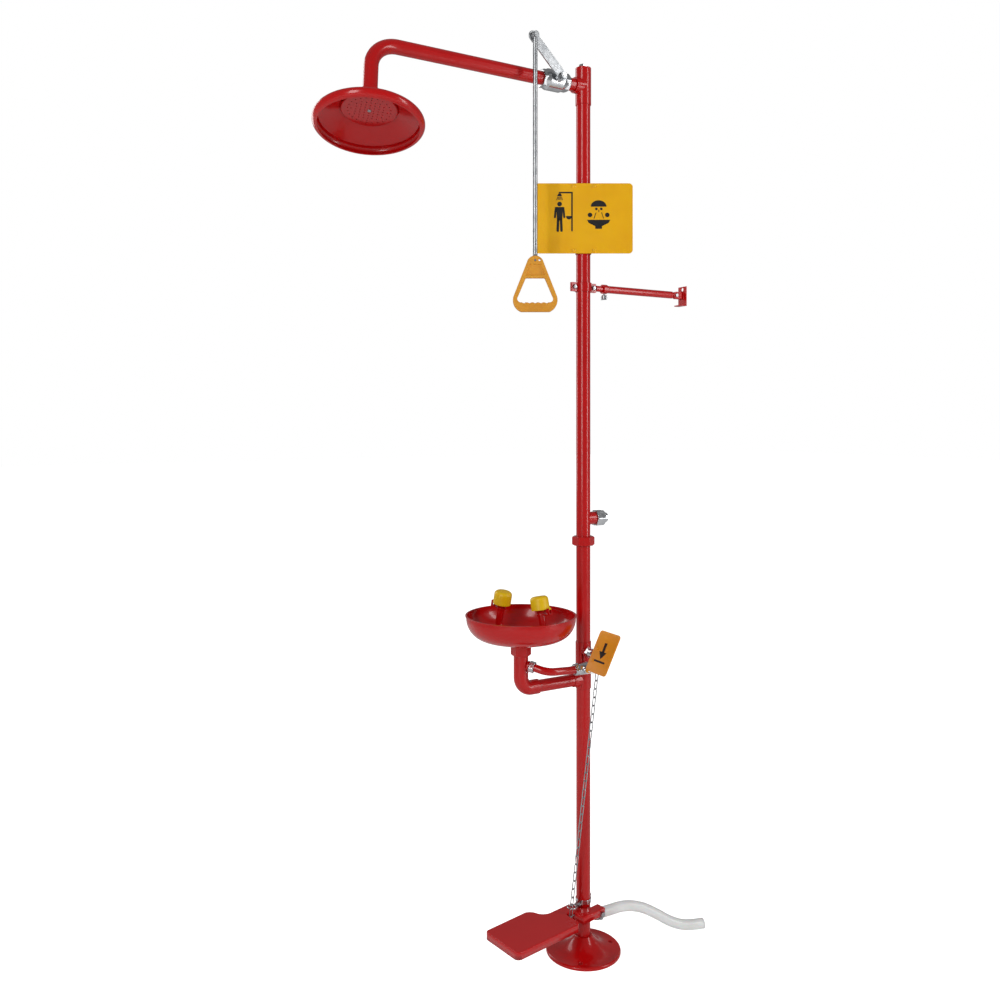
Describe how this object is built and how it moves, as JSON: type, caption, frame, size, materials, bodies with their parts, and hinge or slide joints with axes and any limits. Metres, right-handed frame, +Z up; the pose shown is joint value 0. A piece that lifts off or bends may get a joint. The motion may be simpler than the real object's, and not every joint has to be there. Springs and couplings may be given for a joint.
{
  "type": "emergency safety shower",
  "caption": "Floor-standing emergency drench shower with pull handle and an eyewash bowl worked by push plate or foot pedal.",
  "frame": {"origin": "centre of the base flange's underside, on the floor", "axes": "+Z up the column, -Y to the front where the arm, bowl and pedal are, +Y to the wall, +X to the side with the levers"},
  "size_m": [0.3196, 1.1224, 2.4196],
  "materials": {
    "red_enamel": "gloss red stoved enamel",
    "pedal_enamel": "satin red stoved enamel",
    "bright_chrome": "polished plating",
    "zinc_steel": "bright zinc plated or drawn steel",
    "valve_seat": "white seal plastic",
    "handle_plastic": "moulded orange-yellow",
    "sign_yellow": "printed yellow panel",
    "cap_yellow": "moulded yellow",
    "push_plate_orange": "printed orange panel",
    "nozzle_plastic": "moulded yellow",
    "hose_vinyl": "soft white hose"
  },
  "bodies": {
    "stand": {"base_flange": "red_enamel", "cap_hinge_forks": "zinc_steel", "chain_guide_clamp": "bright_chrome", "clamp_bolts": "zinc_steel", "drain_elbow": "red_enamel", "drain_hose": "hose_vinyl", "drain_pipe": "red_enamel", "drain_post": "red_enamel", "drain_spigot": "red_enamel", "eyewash_bowl": "red_enamel", "eyewash_nuts": "bright_chrome", "eyewash_supply_pipe": "red_enamel", "eyewash_valve_body": "bright_chrome", "head_collar": "red_enamel", "hose_clamp": "zinc_steel", "inlet_bushing": "bright_chrome", "inlet_nipple": "bright_chrome", "nozzle_heads": "nozzle_plastic", "nozzle_yoke": "red_enamel", "outlet_elbows": "bright_chrome", "outlet_nipple": "bright_chrome", "panel_screws": "zinc_steel", "pedal_bracket": "red_enamel", "post_tee": "red_enamel", "shower_arm": "red_enamel", "shower_head_shell": "red_enamel", "shower_valve_body": "bright_chrome", "shower_valve_nipple": "red_enamel", "sign_plate": "sign_yellow", "sign_saddles": "red_enamel", "spray_plate": "red_enamel", "stay_clamp": "red_enamel", "stay_inner_tube": "red_enamel", "supply_pipe_lower": "red_enamel", "supply_pipe_upper": "red_enamel", "top_plug": "bright_chrome", "top_tee": "red_enamel", "union_nut": "red_enamel", "valve_seats": "valve_seat"},
    "shower_lever": {"shower_valve_ball": "bright_chrome", "shower_valve_stem": "bright_chrome", "shower_lever": "zinc_steel", "lever_fasteners": "zinc_steel"},
    "pull_rod": {"pull_rod": "zinc_steel"},
    "pull_handle": {"pull_handle": "handle_plastic", "handle_pin": "zinc_steel"},
    "push_plate": {"eyewash_valve_ball": "bright_chrome", "eyewash_valve_stem": "bright_chrome", "push_bracket": "bright_chrome", "push_plate": "push_plate_orange", "push_fasteners": "zinc_steel"},
    "chain": {"chain": "zinc_steel"},
    "pedal": {"foot_pedal": "pedal_enamel", "pedal_pins": "zinc_steel"},
    "cap_left": {"dust_cap_left": "cap_yellow"},
    "cap_right": {"dust_cap_right": "cap_yellow"},
    "stay_outer": {"stay_outer_tube": "red_enamel"},
    "lock_screw": {"stay_lock_screw": "zinc_steel"},
    "stay_foot": {"stay_foot": "red_enamel", "stay_foot_pin": "zinc_steel"}
  },
  "joints": [
    {"name": "shower_lever_turn", "type": "hinge", "parent": "stand", "child": "shower_lever", "pos_m": [0, -0.094, 2.32], "axis": [1, 0, 0], "range_deg": [0, 90]},
    {"name": "rod_hang", "type": "hinge", "parent": "shower_lever", "child": "pull_rod", "pos_m": [0.038, -0.1832, 2.40614], "axis": [1, 0, 0], "range_deg": [-90, 0]},
    {"name": "handle_swing", "type": "hinge", "parent": "pull_rod", "child": "pull_handle", "pos_m": [0.0487, -0.1832, 1.831], "axis": [0.866, -0.5, 0], "range_deg": [-30, 30]},
    {"name": "push_plate_turn", "type": "hinge", "parent": "stand", "child": "push_plate", "pos_m": [0.055, -0.04, 0.775], "axis": [-1, 0, 0], "range_deg": [0, 90]},
    {"name": "chain_hang", "type": "hinge", "parent": "push_plate", "child": "chain", "pos_m": [0.0775, -0.01, 0.768], "axis": [-1, 0, 0], "range_deg": [-93.5, 0]},
    {"name": "pedal_press", "type": "hinge", "parent": "stand", "child": "pedal", "pos_m": [-0.00273, 0.01475, 0.113], "axis": [0.9833, 0.1822, 0], "range_deg": [0, 17.4]},
    {"name": "cap_left_flip", "type": "hinge", "parent": "stand", "child": "cap_left", "pos_m": [-0.085, -0.22795, 0.94823], "axis": [0.3518, -0.9361, 0], "range_deg": [0, 110]},
    {"name": "cap_right_flip", "type": "hinge", "parent": "stand", "child": "cap_right", "pos_m": [0.085, -0.16405, 0.94823], "axis": [-0.3518, 0.9361, 0], "range_deg": [0, 110]},
    {"name": "stay_extend", "type": "slide", "parent": "stand", "child": "stay_outer", "axis": [0, 1, 0], "range_m": [0, 0.12]},
    {"name": "lock_screw_turn", "type": "hinge", "parent": "stay_outer", "child": "lock_screw", "pos_m": [0, 0.069, 1.761], "axis": [0, 0, 1], "range_deg": [0, 180]},
    {"name": "stay_foot_tilt", "type": "hinge", "parent": "stay_outer", "child": "stay_foot", "pos_m": [0, 0.32, 1.781], "axis": [1, 0, 0], "range_deg": [-40, 40]}
  ],
  "couplings": [
    {"joint": "rod_hang", "follows": "shower_lever_turn", "ratio": -1},
    {"joint": "chain_hang", "follows": "push_plate_turn", "ratio": -1.0377},
    {"joint": "pedal_press", "follows": "push_plate_turn", "ratio": 0.1919}
  ]
}
